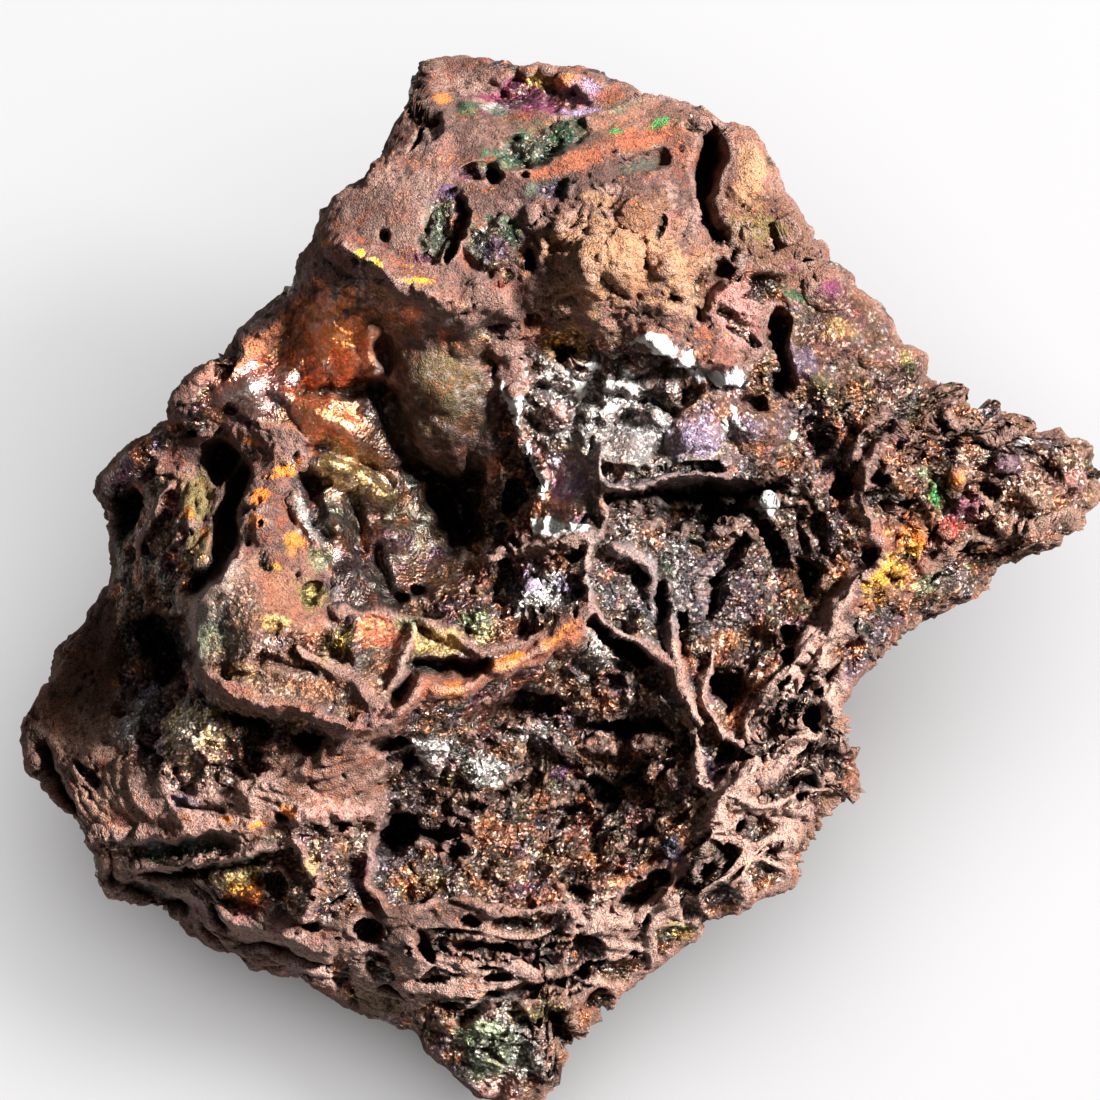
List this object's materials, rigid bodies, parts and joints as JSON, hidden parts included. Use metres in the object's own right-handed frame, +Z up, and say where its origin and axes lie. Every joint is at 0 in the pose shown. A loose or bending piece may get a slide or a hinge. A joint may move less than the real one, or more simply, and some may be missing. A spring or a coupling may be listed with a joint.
{
  "type": "rough goethite stone",
  "caption": "Palm-sized rough goethite: a ridged, cavernous brown iron-oxide stone with open lustrous hollows, standing on a small flat patch underneath.",
  "frame": {"origin": "middle of the bottom of the stone's bounding box, on the surface it rests on", "axes": "+Z up, out of the flat resting patch; +X towards the stone's pointed arm, along its longest extent; +Y towards its raised far end"},
  "size_m": [0.0888, 0.0798, 0.0519],
  "materials": {
    "goethite": "matte"
  },
  "bodies": {
    "root": {"goethite_stone": "goethite"}
  },
  "joints": []
}
